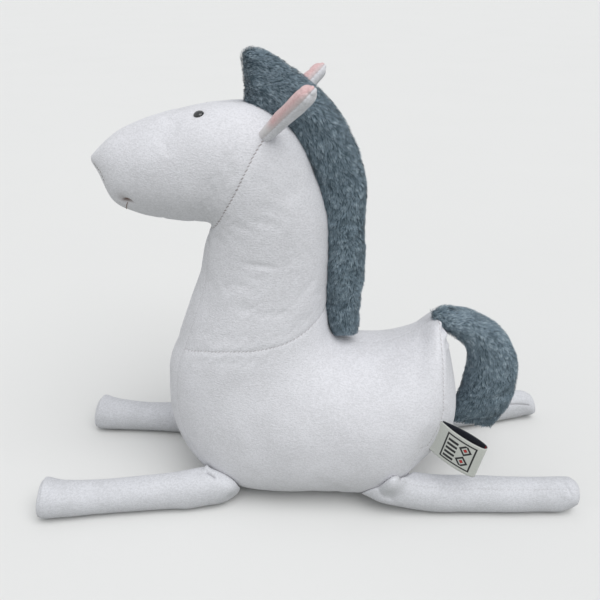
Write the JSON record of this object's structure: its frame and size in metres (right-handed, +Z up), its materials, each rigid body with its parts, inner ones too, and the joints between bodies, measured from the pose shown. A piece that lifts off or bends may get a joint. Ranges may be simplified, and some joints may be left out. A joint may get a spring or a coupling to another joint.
{
  "type": "plush horse",
  "caption": "Stuffed plush horse lying on its belly with outstretched legs, grey mane and tail, upright ears and bead eyes.",
  "frame": {"origin": "on the ground plane under the middle of the belly, in the horse's middle plane", "axes": "+Z up, the horse looks along -X, its left side is -Y"},
  "size_m": [0.4357, 0.1879, 0.345],
  "materials": {
    "velour": "short off-white velour nap",
    "grey_plush": "blue-grey plush with a directional nap",
    "pink_velour": "pale pink velour",
    "fibre_filling": "loose polyester fibre",
    "eye_black": "polished",
    "washer_plastic": "as moulded",
    "thread": "reddish-brown sewing thread",
    "label_tape": "woven satin tape"
  },
  "bodies": {
    "torso": {"torso_panel_left": "velour", "torso_panel_right": "velour", "neck_panel_left": "velour", "neck_panel_right": "velour", "head_panel_left": "velour", "head_panel_right": "velour", "underside_gusset": "velour", "mane_cover": "grey_plush", "body_filling": "fibre_filling", "mane_filling": "fibre_filling", "eye_left": "eye_black", "eye_right": "eye_black", "eye_washer_left": "washer_plastic", "eye_washer_right": "washer_plastic", "mouth_stitch": "thread"},
    "leg_front_left": {"leg_front_left_cover": "velour", "leg_front_left_filling": "fibre_filling"},
    "leg_front_right": {"leg_front_right_cover": "velour", "leg_front_right_filling": "fibre_filling"},
    "leg_hind_left": {"leg_hind_left_cover": "velour", "leg_hind_left_filling": "fibre_filling"},
    "leg_hind_right": {"leg_hind_right_cover": "velour", "leg_hind_right_filling": "fibre_filling"},
    "tail": {"tail_cover": "grey_plush", "tail_filling": "fibre_filling"},
    "ear_left": {"ear_back_left": "velour", "ear_lining_left": "pink_velour"},
    "ear_right": {"ear_back_right": "velour", "ear_lining_right": "pink_velour"},
    "label": {"sewn_label": "label_tape"}
  },
  "joints": [
    {"name": "leg_front_left_swing", "type": "hinge", "parent": "torso", "child": "leg_front_left", "pos_m": [-0.05601, -0.04718, 0.02065], "axis": [0.1593, -0.9872, 0], "range_deg": [0, 100]},
    {"name": "leg_front_right_swing", "type": "hinge", "parent": "torso", "child": "leg_front_right", "pos_m": [-0.05601, 0.04718, 0.02065], "axis": [-0.0306, -0.9995, 0], "range_deg": [0, 100]},
    {"name": "leg_hind_left_swing", "type": "hinge", "parent": "torso", "child": "leg_hind_left", "pos_m": [0.06696, -0.04855, 0.01562], "axis": [-0.0422, 0.9991, 0], "range_deg": [0, 100]},
    {"name": "leg_hind_right_swing", "type": "hinge", "parent": "torso", "child": "leg_hind_right", "pos_m": [0.06696, 0.04855, 0.01562], "axis": [-0.2724, 0.9622, 0], "range_deg": [0, 100]},
    {"name": "tail_swing", "type": "hinge", "parent": "torso", "child": "tail", "pos_m": [0.10836, 0, 0.15435], "axis": [0, -1, 0], "range_deg": [0, 110]},
    {"name": "ear_left_fold", "type": "hinge", "parent": "torso", "child": "ear_left", "pos_m": [-0.01994, -0.02878, 0.29581], "axis": [0.3897, 0.8141, 0.4304], "range_deg": [-25, 25], "stiffness_Nm_per_rad": 0.005},
    {"name": "ear_right_fold", "type": "hinge", "parent": "torso", "child": "ear_right", "pos_m": [-0.01994, 0.02878, 0.29581], "axis": [-0.3496, 0.8536, -0.3862], "range_deg": [-25, 25], "stiffness_Nm_per_rad": 0.005},
    {"name": "label_flap", "type": "hinge", "parent": "torso", "child": "label", "pos_m": [0.10873, -0.04685, 0.07165], "axis": [0.2104, -0.098, 0.9727], "range_deg": [-30, 30], "stiffness_Nm_per_rad": 0.001}
  ]
}
